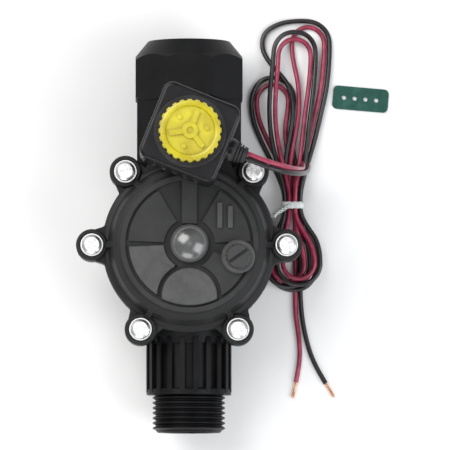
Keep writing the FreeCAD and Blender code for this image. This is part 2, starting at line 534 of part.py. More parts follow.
third_top = lobe([(-4.5, 3), (-6.4, 14), (-10.6, 30), (-11.0, 46), (-9.4, 58), (-4.6, 67.4), (0.0, 69.4), (5.4, 68.6), (9.4, 63), (10.6, 54), (10.0, 40), (7.4, 20), (4.5, 3)], 1.2, 6.9)
hank = fuse([waist, low, short_top, long_top, third_top])
save("lead_hank", hank)
tie_ring = box(HANK_X - 5.3, HANK_X + 5.3, HANK_Y - 1.7, HANK_Y + 1.7, 0.0, 10.5).cut(box(HANK_X - 4.6, HANK_X + 4.6, HANK_Y - 4, HANK_Y + 4, 0.65, 9.85))
twist = Part.makeCylinder(0.9, 9.0, V(HANK_X - 1.0, HANK_Y + 0.2, 10.9), V(-0.75, -0.55, 0.28))
save("hank_tie", tie_ring.fuse(twist).removeSplitter())
# folded plastic station tag lying beside the hank
tag = box(HANK_X + 18.8, HANK_X + 44.6, TAG_Y - 5.4, TAG_Y + 5.4, 0.0, 0.9)
tag = fillet(tag, 2.2, lambda e: abs(e.BoundBox.ZMax - e.BoundBox.ZMin - 0.9) < 0.01)
for k in range(4):
    tag = tag.cut(cyl(1.0, -1, 3, HANK_X + 24.0 + 5.0 * k, TAG_Y))
save("station_tag", turned(tag, -5.0, HANK_X + 30.0, TAG_Y))
print("done")
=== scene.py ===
import math

import bmesh
import bpy
from mathutils import Matrix, Vector


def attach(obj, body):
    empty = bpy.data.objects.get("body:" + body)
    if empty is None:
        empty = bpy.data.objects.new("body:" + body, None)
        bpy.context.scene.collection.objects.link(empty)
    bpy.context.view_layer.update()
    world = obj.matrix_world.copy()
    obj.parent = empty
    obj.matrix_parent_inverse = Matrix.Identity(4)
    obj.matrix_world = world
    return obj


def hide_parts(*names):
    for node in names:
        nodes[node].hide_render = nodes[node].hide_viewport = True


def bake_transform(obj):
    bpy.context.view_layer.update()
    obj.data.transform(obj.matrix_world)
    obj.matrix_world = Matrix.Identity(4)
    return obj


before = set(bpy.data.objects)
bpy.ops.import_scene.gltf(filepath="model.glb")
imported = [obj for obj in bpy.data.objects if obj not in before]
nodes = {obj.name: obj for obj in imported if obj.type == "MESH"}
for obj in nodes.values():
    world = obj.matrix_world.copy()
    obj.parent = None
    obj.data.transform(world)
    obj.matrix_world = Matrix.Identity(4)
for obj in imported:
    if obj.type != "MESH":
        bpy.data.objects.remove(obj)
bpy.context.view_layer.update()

MM = 0.001

# ---- places, from the CAD model -----------------------------------------------------------------------------------
HANK_X, HANK_Y = 48.0, 21.0
SOL = Vector((0.0, 48.0, 0.0))
SOL_TURN = math.radians(-22.0)
R_LEAD = 1.1


# ---- material helpers ---------------------------------------------------------------------------------------------
class Mat:
    """A procedural material under construction."""

    def __init__(self, name, color=(0.8, 0.8, 0.8), rough=0.5, metal=0.0, **sockets):
        self.m = bpy.data.materials.new(name)
        self.m.use_nodes = True
        self.t = self.m.node_tree
        self.b = self.t.nodes["Principled BSDF"]
        self.b.inputs["Base Color"].default_value = (*color, 1)
        self.b.inputs["Roughness"].default_value = rough
        self.b.inputs["Metallic"].default_value = metal
        for k, v in sockets.items():
            self.b.inputs[k.replace("_", " ")].default_value = v
        self.m.diffuse_color = (*color, 1)
        self.coord = self.t.nodes.new("ShaderNodeTexCoord").outputs["Object"]
        self.normal = None

    def node(self, kind, **k):
        n = self.t.nodes.new(kind)
        for a, v in k.items():
            setattr(n, a, v)
        return n

    def put(self, value, socket):
        if hasattr(value, "links") or isinstance(value, bpy.types.NodeSocket):
            self.t.links.new(value, socket)
        else:
            socket.default_value = value

    def space(self, scale=(1, 1, 1), turn=(0, 0, 0), move=(0, 0, 0)):
        n = self.node("ShaderNodeMapping")
        self.t.links.new(self.coord, n.inputs["Vector"])
        n.inputs["Scale"].default_value = scale
        n.inputs["Rotation"].default_value = turn
        n.inputs["Location"].default_value = move
        return n.outputs["Vector"]

    def noise(self, scale, detail=3.0, rough=0.55, distortion=0.0, space=None):
        n = self.node("ShaderNodeTexNoise")
        self.t.links.new(space or self.coord, n.inputs["Vector"])
        n.inputs["Scale"].default_value = scale
        n.inputs["Detail"].default_value = detail
        n.inputs["Roughness"].default_value = rough
        n.inputs["Distortion"].default_value = distortion
        return n.outputs["Fac"]

    def cells(self, scale, space=None, feature="F1", out="Distance"):
        n = self.node("ShaderNodeTexVoronoi", feature=feature)
        self.t.links.new(space or self.coord, n.inputs["Vector"])
        n.inputs["Scale"].default_value = scale
        return n.outputs[out]

    def ramp(self, fac, *stops):
        """stops: (position, value or colour)"""
        n = self.node("ShaderNodeValToRGB")
        self.t.links.new(fac, n.inputs["Fac"])
        e = n.color_ramp.elements
        while len(e) < len(stops):
            e.new(0.5)
        for el, (p, c) in zip(e, stops):
            el.position = p
            el.color = (c, c, c, 1) if isinstance(c, (int, float)) else (*c, 1)
        return n.outputs["Color"]

    def math(self, op, a, b=0.0, clamp=False):
        n = self.node("ShaderNodeMath", operation=op, use_clamp=clamp)
        self.put(a, n.inputs[0])
        self.put(b, n.inputs[1])
        return n.outputs[0]

    def mix(self, fac, a, b, mode="MIX"):
        n = self.node("ShaderNodeMix", data_type="RGBA", blend_type=mode)
        self.put(fac, n.inputs[0])
        for v, s in ((a, n.inputs[6]), (b, n.inputs[7])):
            self.put((*v, 1) if isinstance(v, tuple) and len(v) == 3 else v, s)
        return n.outputs[2]

    def edge(self, radius):
        """Rounds the corners' shading by a small radius in metres."""
        n = self.node("ShaderNodeBevel", samples=4)
        n.inputs["Radius"].default_value = radius
        self.normal = n.outputs["Normal"]
        return self

    def edge_highlight_mask(self, radius, gain):
        """0 on flat places, rising to 1 along outside corners."""
        b = self.node("ShaderNodeBevel", samples=6)
        b.inputs["Radius"].default_value = radius
        g = self.node("ShaderNodeNewGeometry")
        d = self.node("ShaderNodeVectorMath", operation="DOT_PRODUCT")
        self.t.links.new(b.outputs["Normal"], d.inputs[0])
        self.t.links.new(g.outputs["Normal"], d.inputs[1])
        return self.math("MULTIPLY", self.math("SUBTRACT", 1.0, d.outputs["Value"]), gain, True)

    def bump(self, height, distance, strength=1.0):
        n = self.node("ShaderNodeBump")
        n.inputs["Strength"].default_value = strength
        n.inputs["Distance"].default_value = distance
        self.t.links.new(height, n.inputs["Height"])
        if self.normal is not None:
            self.t.links.new(self.normal, n.inputs["Normal"])
        self.normal = n.outputs["Normal"]
        return self

    def color(self, value):
        self.put(value, self.b.inputs["Base Color"])
        return self

    def rough(self, value):
        self.put(value, self.b.inputs["Roughness"])
        return self

    def done(self):
        if self.normal is not None:
            self.t.links.new(self.normal, self.b.inputs["Normal"])
        return self.m


def moulded(name, dark, light, rough=(0.42, 0.56), grain=0.00003, edge=0.00035, flow=0.5, coord_turn=0.3, **sockets):
    """Injection-moulded plastic: fine spark texture, faint flow streaks, small changes of gloss."""
    m = Mat(name, color=dark, rough=rough[0], **sockets)
    m.edge(edge)
    streak = m.noise(38.0, 4.0, 0.6, 1.4, m.space((1.0, 0.28, 0.7), (0.2, 0.1, coord_turn)))
    patch = m.noise(90.0, 3.0, 0.5)
    both = m.math("ADD", m.math("MULTIPLY", streak, flow), m.math("MULTIPLY", patch, 1 - flow))
    m.color(m.mix(m.ramp(both, (0.34, 0.0), (0.66, 1.0)), dark, light))
    fine = m.noise(2600.0, 2.0, 0.6)
    m.rough(m.ramp(m.math("ADD", m.math("MULTIPLY", patch, 0.6), m.math("MULTIPLY", fine, 0.4)), (0.35, rough[0]), (0.65, rough[1])))
    m.bump(m.noise(4200.0, 2.0, 0.55), grain, 0.55)
    m.bump(m.noise(260.0, 3.0, 0.5), grain * 2.2, 0.35)
    return m.done()


def metal(name, a, b, rough=(0.22, 0.38), grain=1500.0, stretch=(1, 1, 14), bump=0.000012, edge=0.0002, **sockets):
    """Turned or drawn metal: fine lines, patches of duller finish."""
    m = Mat(name, color=a, rough=rough[0], metal=1.0, **sockets)
    if edge:
        m.edge(edge)
    line = m.noise(grain, 3.0, 0.6, 0.0, m.space(stretch))
    patch = m.noise(420.0, 3.0, 0.55)
    m.color(m.mix(m.ramp(patch, (0.35, 0.0), (0.7, 1.0)), a, b))
    m.rough(m.ramp(m.math("ADD", m.math("MULTIPLY", line, 0.5), m.math("MULTIPLY", patch, 0.5)), (0.36, rough[0]), (0.64, rough[1])))
    m.bump(line, bump, 0.7)
    return m.done()


def rubber(name, base=(0.013, 0.013, 0.014), rough=(0.55, 0.75)):
    m = Mat(name, color=base, rough=rough[0], Specular_IOR_Level=0.35)
    m.edge(0.0002)
    n = m.noise(700.0, 4.0, 0.6)
    m.color(m.mix(m.ramp(m.noise(150.0), (0.3, 0.0), (0.75, 1.0)), base, tuple(min(1, c * 1.9) for c in base)))
    m.rough(m.ramp(n, (0.35, rough[0]), (0.65, rough[1])))
    m.bump(n, 0.00003, 0.5)
    return m.done()


# ---- materials ----------------------------------------------------------------------------------------------------
body_mat = moulded("glass_filled_nylon", (0.0030, 0.0031, 0.0036), (0.0072, 0.0074, 0.0080), rough=(0.30, 0.46), grain=0.00004, Specular_IOR_Level=0.13)

# bonnet: the same nylon with random scuffs; painted shade darkens the recesses between its raised pads and down its
# side, and painted light makes the pad tops paler
m = Mat("grey_black_nylon", (0.014, 0.0143, 0.0145), 0.48)
m.edge(0.0004)
high = m.node("ShaderNodeSeparateXYZ")
m.t.links.new(m.coord, high.inputs["Vector"])
level = m.math("MULTIPLY", m.math("SUBTRACT", high.outputs["Z"], 0.0620), 200.0, True)
# painted shade by height: dark low down and in the recesses, painted light on the pad tops
painted_shade_by_height = m.ramp(level, (0.0, 0.10), (0.26, 0.13), (0.36, 0.20), (0.48, 0.28), (0.60, 0.34), (0.66, 0.86), (0.80, 0.94), (1.0, 1.0))
scuff = m.noise(46.0, 5.0, 0.65, 1.2, m.space((1.0, 0.5, 1.0), (0, 0, 1.1)))
smear = m.noise(210.0, 4.0, 0.6, 0.6)
worn = m.math("ADD", m.math("MULTIPLY", scuff, 0.6), m.math("MULTIPLY", smear, 0.4))
# random scuffs times the painted shade and light by height
scuff_and_painted_shade = m.math("MULTIPLY", painted_shade_by_height, m.ramp(worn, (0.30, 0.55), (0.52, 0.95), (0.72, 1.25)))
m.color(m.mix(scuff_and_painted_shade, (0.0085, 0.0086, 0.0090), (0.078, 0.079, 0.077)))
# the dome in the middle is polished by handling
reach = m.math("SQRT", m.math("ADD", m.math("POWER", high.outputs["X"], 2.0), m.math("POWER", high.outputs["Y"], 2.0)))
polish = m.math("MULTIPLY", m.math("LESS_THAN", reach, 0.0071), m.math("GREATER_THAN", high.outputs["Z"], 0.0667))
dull = m.ramp(worn, (0.3, 0.40), (0.7, 0.60))
m.rough(m.math("SUBTRACT", dull, m.math("MULTIPLY", polish, m.math("SUBTRACT", dull, 0.17))))
m.put(m.math("ADD", m.math("MULTIPLY", polish, 0.80), 0.20), m.b.inputs["Specular IOR Level"])
m.bump(m.noise(4200.0, 2.0, 0.55), 0.000045, 0.55)
m.bump(m.noise(260.0, 3.0, 0.5), 0.0001, 0.35)
bonnet_mat = m.done()

# coil moulding: nearly black, with a painted highlight along its edges in patches
m = Mat("coil_moulding", (0.0030, 0.0028, 0.0038), 0.3, Specular_IOR_Level=0.26)
m.edge(0.0006)
streak_patches = m.noise(70.0, 5.0, 0.65, 0.9, m.space((1.0, 1.0, 0.4), (0, 0, -0.4)))
fleck = m.noise(900.0, 3.0, 0.6)
tone = m.ramp(m.noise(120.0, 3.0), (0.34, (0.0028, 0.0026, 0.0036)), (0.66, (0.0062, 0.0057, 0.0076)))
# painted highlight: a pale colour along the outside edges, in noise patches
painted_edge_highlight = m.math("MULTIPLY", m.edge_highlight_mask(0.0013, 5.0), m.ramp(m.math("ADD", m.math("MULTIPLY", streak_patches, 0.7), m.math("MULTIPLY", fleck, 0.3)), (0.42, 0.0), (0.58, 1.0)))
m.color(m.mix(painted_edge_highlight, tone, (0.17, 0.165, 0.145)))
m.rough(m.ramp(streak_patches, (0.35, 0.24), (0.65, 0.36)))
m.bump(m.noise(4200.0, 2.0, 0.55), 0.000025, 0.55)
coil_mat = m.done()
bleed_mat = moulded("acetal_black", (0.016, 0.016, 0.017), (0.028, 0.028, 0.029), rough=(0.34, 0.5), grain=0.00002, edge=0.00025)
tube_mat = moulded("tube_nylon", (0.02, 0.02, 0.021), (0.035, 0.035, 0.036), rough=(0.38, 0.5), grain=0.00002)
acetal_mat = moulded("natural_acetal", (0.68, 0.68, 0.64), (0.76, 0.76, 0.72), rough=(0.34, 0.46), grain=0.00002, Subsurface_Weight=0.08)
bobbin_mat = moulded("natural_nylon", (0.62, 0.58, 0.46), (0.7, 0.66, 0.54), rough=(0.4, 0.5), grain=0.00002)
stainless_mat = metal("stainless_steel", (0.93, 0.93, 0.92), (0.86, 0.86, 0.85), rough=(0.26, 0.31), stretch=(1, 1, 1), bump=0.0000004, edge=None)
washer_mat = metal("stainless_washer", (0.82, 0.82, 0.81), (0.74, 0.74, 0.73), rough=(0.28, 0.36), stretch=(1, 1, 1), bump=0.0000006, edge=None)
spring_mat = metal("spring_wire", (0.62, 0.62, 0.61), (0.5, 0.5, 0.5), rough=(0.25, 0.4), stretch=(6, 6, 1))
core_mat = metal("ferritic_steel", (0.56, 0.56, 0.56), (0.46, 0.46, 0.47), rough=(0.2, 0.36))
yoke_mat = metal("zinc_plated_strip", (0.60, 0.62, 0.66), (0.46, 0.49, 0.52), rough=(0.3, 0.5), stretch=(1, 8, 1))
brass_mat = metal("brass", (0.78, 0.57, 0.24), (0.62, 0.43, 0.17), rough=(0.24, 0.4))
rubber_mat = rubber("black_rubber")
oring_mat = rubber("nitrile", (0.010, 0.010, 0.011), (0.42, 0.6))
grommet_mat = rubber("grommet_rubber", (0.011, 0.011, 0.012), (0.5, 0.68))

m = Mat("sintered_ferrite", (0.05, 0.05, 0.055), 0.6, 0.25)
m.color(m.ramp(m.noise(900.0, 4.0), (0.3, (0.035, 0.035, 0.04)), (0.7, (0.09, 0.09, 0.10))))
m.bump(m.noise(2200.0, 3.0), 0.00004, 0.7)
ferrite_mat = m.done()

m = Mat("enamelled_copper", (0.62, 0.22, 0.07), 0.28, 1.0, Coat_Weight=0.5, Coat_Roughness=0.12)
layer = m.node("ShaderNodeTexWave", wave_type="BANDS", bands_direction="Z", wave_profile="SIN")
m.t.links.new(m.coord, layer.inputs["Vector"])
layer.inputs["Scale"].default_value = 520.0
layer.inputs["Distortion"].default_value = 0.25
m.color(m.ramp(layer.outputs["Fac"], (0.1, (0.22, 0.06, 0.02)), (0.6, (0.66, 0.25, 0.09))))
m.bump(layer.outputs["Fac"], 0.00012, 0.8)
copper_wire_mat = m.done()

# yellow cap: bright, slightly translucent, its gloss varying in random patches
m = Mat("yellow_moulding", (0.46, 0.39, 0.006), 0.30, Subsurface_Weight=0.12, Subsurface_Scale=0.002, Coat_Weight=0.15, Coat_Roughness=0.2)
m.b.inputs["Subsurface Radius"].default_value = (1.0, 0.8, 0.1)
m.edge(0.0003)
tone = m.noise(120.0, 3.0, 0.5)
m.color(m.ramp(tone, (0.3, (0.37, 0.30, 0.004)), (0.5, (0.46, 0.39, 0.006)), (0.72, (0.56, 0.49, 0.014))))
m.rough(m.ramp(m.noise(700.0, 3.0), (0.35, 0.26), (0.65, 0.40)))
m.bump(m.noise(2400.0, 2.0), 0.00002, 0.5)
cap_mat = m.done()


def pvc(name, deep, base, pale, rough=(0.26, 0.40)):
    """Soft PVC insulation: faint streaks along the wire, rubbed and slightly dusty places."""
    m = Mat(name, color=base, rough=rough[0], Coat_Weight=0.08, Coat_Roughness=0.25)
    tone = m.noise(160.0, 4.0, 0.6)
    m.color(m.ramp(tone, (0.28, deep), (0.5, base), (0.76, pale)))
    m.rough(m.ramp(m.noise(900.0, 3.0, 0.6), (0.34, rough[0]), (0.66, rough[1])))
    m.bump(m.noise(1300.0, 3.0, 0.6), 0.00003, 0.45)
    m.bump(m.noise(300.0, 2.0, 0.5), 0.00008, 0.35)
    return m.done()


red_mat = pvc("red_insulation", (0.15, 0.009, 0.028), (0.26, 0.019, 0.054), (0.40, 0.062, 0.118))
black_mat = pvc("black_insulation", (0.005, 0.004, 0.005), (0.009, 0.007, 0.008), (0.021, 0.017, 0.019))
bare_mat = metal("bare_copper", (0.82, 0.46, 0.26), (0.62, 0.30, 0.15), rough=(0.22, 0.36), grain=2500.0, stretch=(1, 1, 1))

# the tie: thin plastic-covered wire, slightly translucent grey-white
m = Mat("tie_plastic", (0.62, 0.64, 0.63), 0.42, Subsurface_Weight=0.15, Subsurface_Scale=0.0015)
crease = m.noise(420.0, 4.0, 0.65, 0.8)
m.color(m.ramp(crease, (0.3, (0.50, 0.52, 0.51)), (0.6, (0.66, 0.68, 0.67)), (0.8, (0.74, 0.75, 0.74))))
m.rough(m.ramp(m.noise(1500.0), (0.35, 0.34), (0.65, 0.55)))
m.bump(crease, 0.0002, 0.6)
tie_mat = m.done()

# the tag: calendered green strip with a fine linen grain
m = Mat("green_strip", (0.02, 0.085, 0.064), 0.46, Specular_IOR_Level=0.22)
tone = m.noise(200.0, 4.0, 0.6)
m.color(m.ramp(tone, (0.3, (0.009, 0.050, 0.037)), (0.55, (0.015, 0.072, 0.055)), (0.8, (0.034, 0.112, 0.086))))
m.rough(m.ramp(m.noise(1800.0), (0.35, 0.38), (0.65, 0.56)))
m.bump(m.cells(1400.0), 0.00004, 0.5)
tag_mat = m.done()


def give(material, *names):
    for n in names:
        o = nodes[n]
        o.data.materials.clear()
        o.data.materials.append(material)


give(body_mat, "valve_body")
give(bonnet_mat, "bonnet")
give(stainless_mat, "bonnet_screws", "metering_pin", "clamp_nut")
give(washer_mat, "screw_washers")
give(brass_mat, "brass_inserts")
give(acetal_mat, "diaphragm_plate", "seat_guide")
give(tube_mat, "guide_tube")
give(core_mat, "fixed_core", "plunger")
give(oring_mat, "plunger_seal", "solenoid_oring", "pilot_port_oring", "bleed_oring")
give(rubber_mat, "diaphragm", "cap_seal")
give(spring_mat, "main_spring", "plunger_spring")
give(coil_mat, "coil_housing")
give(yoke_mat, "coil_yoke")
give(bobbin_mat, "coil_bobbin")
give(copper_wire_mat, "coil_winding")
give(ferrite_mat, "latch_magnet")
give(grommet_mat, "lead_grommet")
give(cap_mat, "retaining_cap")
give(bleed_mat, "bleed_screw")


# ---- mesh helpers -------------------------------------------------------------------------------------------------
def add_object(name, mesh, material=None, smooth=True):
    o = bpy.data.objects.new(name, mesh)
    bpy.context.scene.collection.objects.link(o)
    if material:
        mesh.materials.clear()
        mesh.materials.append(material)
    if smooth:
        for p in mesh.polygons:
            p.use_smooth = True
    return o


def route_curve(name, points, radius=0.0, resolution=10, sides=5):
    """A smooth curve that has the points, in millimetres, as the control points of one NURBS spline."""
    c = bpy.data.curves.new(name, "CURVE")
    c.dimensions = "3D"
    c.resolution_u = resolution
    c.bevel_depth = radius * MM
    c.bevel_resolution = sides
    c.use_fill_caps = radius > 0
    s = c.splines.new("NURBS")
    s.points.add(len(points) - 1)
    for p, q in zip(s.points, points):
        p.co = (q[0] * MM, q[1] * MM, q[2] * MM, 1)
    s.order_u = 3
    s.use_endpoint_u = True
    return c


def mesh_of(curve):
    o = bpy.data.objects.new("made", curve)
    mesh = bpy.data.meshes.new_from_object(o)
    bpy.data.objects.remove(o)
    return mesh


def line_of(points, resolution=10):
    """The points that the smooth curve runs through, in metres."""
    mesh = mesh_of(route_curve("line", points, 0.0, resolution))
    out = [tuple(v.co) for v in mesh.vertices]
    bpy.data.meshes.remove(mesh)
    return out


def lathe(name, profile, material, sides=128, centre=(0, 0)):
    """A closed (radius, z) profile in millimetres, turned about a vertical axis."""
    bm = bmesh.new()
    rings = []
    for k in range(sides):
        a = 2 * math.pi * k / sides
        rings.append([bm.verts.new(((centre[0] + r * math.cos(a)) * MM, (centre[1] + r * math.sin(a)) * MM, z * MM)) for r, z in profile])
    n = len(profile)
    for k in range(sides):
        a, b = rings[k], rings[(k + 1) % sides]
        for i in range(n):
            j = (i + 1) % n
            bm.faces.new((a[i], b[i], b[j], a[j]))
    bmesh.ops.recalc_face_normals(bm, faces=bm.faces)
    mesh = bpy.data.meshes.new(name)
    bm.to_mesh(mesh)
    bm.free()
    return add_object(name, mesh, material)


def coil_spring(name, centre, z0, z1, radius, wire, turns, material, closed=0.9):
    """A compression spring with closed ends, as a tube along a helix."""
    pts = []
    n = int(turns * 28)
    for i in range(n + 1):
        t = i / n
        a = 2 * math.pi * turns * t
        # the end turns lie nearly flat
        s = 1 / turns
        if t < s:
            f = 0.35 * (t / s) ** 2 * s
        elif t > 1 - s:
            f = 1 - 0.35 * ((1 - t) / s) ** 2 * s
        else:
            f = 0.35 * s + (t - s) / (1 - 2 * s) * (1 - 0.7 * s)
        z = z0 + wire / 2 + f * (z1 - z0 - wire)
        pts.append((centre[0] + radius * math.cos(a), centre[1] + radius * math.sin(a), z))
    c = bpy.data.curves.new(name, "CURVE")
    c.dimensions = "3D"
    c.bevel_depth = wire / 2 * MM
    c.bevel_resolution = 4
    c.use_fill_caps = True
    sp = c.splines.new("POLY")
    sp.points.add(len(pts) - 1)
    for p, q in zip(sp.points, pts):
        p.co = (q[0] * MM, q[1] * MM, q[2] * MM, 1)
    return add_object(name, mesh_of(c), material)


# ---- springs and diaphragm, which change shape as the valve opens ----------------------------------------------------
spring = coil_spring("diaphragm_spring", (0, 0), 46.25, 60.15, 12.4, 1.5, 5.0, spring_mat)
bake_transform(spring)
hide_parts("main_spring")
spring2 = coil_spring("plunger_return_spring", (SOL.x, SOL.y), 69.05, 84.85, 2.3, 0.5, 10.0, spring_mat)
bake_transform(spring2)
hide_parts("plunger_spring")
membrane = lathe("diaphragm_rubber", [
    (3.1, 42.05), (10, 42.05), (17.6, 42.05), (18.6, 42.25), (20, 42.6), (22, 43.0), (24, 43.45), (26, 43.9), (28, 44.4), (30, 44.85), (31.4, 45.12),
    (32.75, 45.22), (34.6, 45.22), (36.4, 45.22), (36.4, 46.5), (36.4, 47.75), (34.6, 47.75), (32.8, 47.75), (32.75, 46.65), (31.2, 46.58), (30, 46.3), (28, 45.85), (26, 45.4), (24, 44.95),
    (22, 44.6), (20, 44.3), (18.6, 44.1), (17.4, 44.05), (10, 44.05), (3.1, 44.05)], rubber_mat)
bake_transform(membrane)
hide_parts("diaphragm")

# ---- leads --------------------------------------------------------------------------------------------------------
# the pair's way from the coil down to the floor: point, and the direction in degrees in which black lies beside red
def from_coil(x, y, z):
    c, s = math.cos(SOL_TURN), math.sin(SOL_TURN)
    return x * c - y * s, SOL.y + x * s + y * c, z


PAIR = [(from_coil(26.4, 0, 90.0), 248), (from_coil(34.9, 0, 90.2), 252), ((40.6, 32.4, 88.0), 264), ((47.0, 31.6, 81.0), 284), ((50.6, 32.4, 69.5), 306),
        ((52.4, 33.6, 54.5), 328), ((53.4, 36.6, 40.0), 346), ((53.4, 38.6, 29.5), 354), ((52.8, 38.6, 20.6), 360), ((51.8, 35.4, 13.6), 360), ((50.6, 29.8, 9.8), 360)]
# the folds of each lead, from the middle of the hank: across, along, up
RED_FOLDS = [
    (1.15, 1.8, 8.75), (1.3, -5, 8.55), (4.2, -11, 8.25), (8.2, -17, 8.1), (10.2, -23.2, 8.1), (10.2, -29.5, 8.1), (5.9, -33.9, 8), (-0.3, -33.9, 7.95),
    (-4.6, -29.5, 7.9), (-4.5, -23, 7.75), (-3.9, -16, 7.5), (-2.7, -10, 6.95), (-1.4, -5, 6.5), (-1.15, 0, 6.35), (-1.3, 6, 6.35), (-2.9, 13, 6.3),
    (-5, 21, 6.3), (-6.9, 30, 5.9), (-7.9, 39, 5.6), (-8, 48, 6), (-7.4, 57, 6.4), (-6.7, 65.5, 6), (-6.3, 73, 4.8), (-2, 77.4, 3.9), (4.2, 77.4, 3.9),
    (8.6, 72.9, 4), (8.5, 64.8, 4.2), (7.6, 55, 4.4), (6.3, 46, 4.4), (5.2, 37, 4.6), (4.3, 28, 5.2), (3.2, 20, 6), (2.2, 14, 6.1), (1.3, 7, 6.35),
    (1.15, 0, 6.35), (1.2, -6, 6.2), (2.2, -12, 5.95), (4.2, -18, 5.8), (5.5, -24.2, 5.8), (5.5, -30.6, 5.75), (1.1, -35.1, 5.7), (-5.1, -35.1, 5.65),
    (-9.5, -30.6, 5.55), (-9.6, -24.4, 5.4), (-8.2, -18.6, 5.2), (-4.8, -12.5, 4.8), (-1.7, -6, 4.3), (-1.15, 0, 4.05), (-1.15, 6, 4.05), (-1.3, 14, 3.9),
    (-0.4, 24, 3.6), (1.9, 35, 3.5), (3.4, 46, 3.5), (2.8, 57, 3.2), (1, 65, 2.2), (-0.1, 71.5, 1.4), (0, 78.8, 1.1), (4.3, 83.2, 1.1), (10.4, 83.2, 1.1),
    (14.8, 78.7, 1.2), (14.9, 71, 1.8), (13.6, 56, 2), (10.6, 43, 1.9), (7.7, 30, 2.4), (4.6, 19, 3.4), (1.8, 9, 4.05), (1.15, 1, 4.05), (1.3, -6, 3.95),
    (3.6, -12.5, 3.7), (7.4, -18, 3.5), (9.6, -24.5, 3.4), (8.4, -31.5, 3.4), (4.2, -36, 3.4), (-1.5, -36.8, 3.2), (-6.4, -33.4, 2.6), (-8.8, -26.5, 1.8),
    (-7.8, -19, 1.4), (-4.6, -12.5, 1.5), (-1.7, -6.5, 1.75), (-1.15, 0, 1.8), (-1.3, 6, 1.7), (-3.6, 14, 1.3), (-7.6, 23, 1.1), (-11.8, 31.5, 1.1),
    (-15.1, 39, 1.1), (-16.4, 45.4, 1.1), (-16.4, 51.9, 1.1), (-12.1, 56.35, 1.1), (-6, 56.35, 1.1), (-1.7, 51.9, 1.1), (-2, 44.6, 1.1), (-3.3, 37, 1.1),
    (-2.9, 28, 1.1), (-0.6, 17, 1.3), (1, 8, 1.7), (1.15, 0, 1.8), (1.2, -7, 1.6), (1.3, -15, 1.2), (1.4, -24, 1.1), (1.4, -33, 1.1), (1.3, -41, 1.1),
]
RED_TAIL = [(49.5, -30.0, 1.1), (51.2, -40.5, 1.1), (51.6, -51.0, 1.1), (49.6, -60.5, 1.1)]
BLACK_FOLDS = [
    (3.45, 1.8, 8.75), (3.8, -4.6, 8.55), (7.1, -10.4, 8.25), (11.3, -16.2, 8.1), (12.8, -23.4, 8.1), (12.7, -30.8, 8.1), (7.1, -36.7, 8),
    (-1.4, -36.7, 7.95), (-7.2, -30.9, 7.9), (-7, -22.6, 7.75), (-6.3, -15.6, 7.5), (-5.1, -9.8, 6.95), (-3.7, -5, 6.5), (-3.45, 0, 6.35), (-3.6, 6, 6.35),
    (-5.3, 13, 6.3), (-7.6, 21, 6.2), (-9.6, 30, 5.4), (-10.6, 39, 5.2), (-10.7, 48, 5.8), (-10, 57, 6.3), (-9, 66, 6.3), (-8.4, 75.2, 6), (-3.2, 80.6, 5.6),
    (5.6, 80.6, 5.2), (10.9, 74.8, 4.8), (10.7, 65, 4.6), (9.9, 55, 5.6), (8.8, 46, 6.2), (7.7, 37, 6.4), (6.8, 28, 6.4), (5.7, 20, 6.4), (4.7, 14, 6.15),
    (3.6, 7, 6.35), (3.45, 0, 6.35), (3.6, -6, 6.2), (4.8, -11.5, 5.95), (6.9, -17.5, 5.8), (8.1, -24, 5.8), (8, -31.4, 5.75), (2.8, -37.5, 5.7),
    (-5.5, -37.6, 5.65), (-11.4, -33, 5.55), (-12.2, -25.6, 5.4), (-10.8, -18.2, 5.2), (-7.2, -11.8, 4.8), (-4.1, -6, 4.3), (-3.45, 0, 4.05),
    (-3.45, 6, 4.05), (-3.7, 14, 3.9), (-2.8, 24, 3.6), (-0.6, 35, 3.5), (0.8, 46, 3.6), (-1.8, 57, 4), (-9.4, 65, 2.6), (-14.2, 72.6, 1.3),
    (-13.4, 80.5, 1.1), (-6.4, 85, 1.1), (2.4, 86.3, 1.1), (11.4, 85.8, 1.1), (17.3, 80, 1.3), (17.4, 70, 1.9), (16.3, 56, 2), (13.4, 43, 1.9),
    (10.3, 30, 2.4), (7, 19, 3.4), (4.2, 9, 4.05), (3.45, 1, 4.05), (3.8, -6, 3.95), (6.2, -12, 3.7), (10, -18, 3.5), (12, -25, 3.4), (10.6, -33, 3.4),
    (5.6, -38.6, 3.4), (-2.4, -39.2, 3.2), (-8.6, -35.4, 2.6), (-11.2, -27, 1.8), (-10.2, -18.5, 1.4), (-7, -12, 1.5), (-4.1, -6.5, 1.75), (-3.45, 0, 1.8),
    (-3.7, 6, 1.7), (-6.2, 13.5, 1.3), (-10.4, 22, 1.1), (-14.8, 31, 1.1), (-18.4, 40, 1.1), (-19.4, 50.8, 1.1), (-14.7, 59.4, 1.1), (-5, 60, 1.1),
    (1.1, 53.4, 1.1), (0.6, 44, 1.1), (-0.4, 36, 1.1), (0.2, 27, 1.1), (2.3, 16.5, 1.3), (3.4, 8, 1.7), (3.45, 0, 1.8), (3.5, -7, 1.6), (3.6, -15, 1.2),
    (3.7, -24, 1.1), (3.7, -33, 1.1), (3.7, -41, 1.1),
]
BLACK_TAIL = [(52.4, -30.5, 1.1), (54.6, -42.0, 1.1), (58.2, -52.5, 1.1), (63.4, -61.0, 1.1)]


def whole_route(side, folds, tail):
    out = [(p[0] + math.cos(math.radians(a)) * 1.2 * side, p[1] + math.sin(math.radians(a)) * 1.2 * side, p[2]) for p, a in PAIR]
    return out + [(HANK_X + w, HANK_Y + u, z) for w, u, z in folds] + tail


RED_ROUTE = whole_route(-1, RED_FOLDS, RED_TAIL)
BLACK_ROUTE = whole_route(1, BLACK_FOLDS, BLACK_TAIL)


def lead(name, route, material, body_nodes):
    line = line_of(route)
    tube = mesh_of(route_curve(name, route, R_LEAD, 10, 5))
    o = add_object(name, tube, material)
    length = sum((Vector(a) - Vector(b)).length for a, b in zip(line, line[1:]))
    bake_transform(o)
    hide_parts(*body_nodes)
    return o, line, length


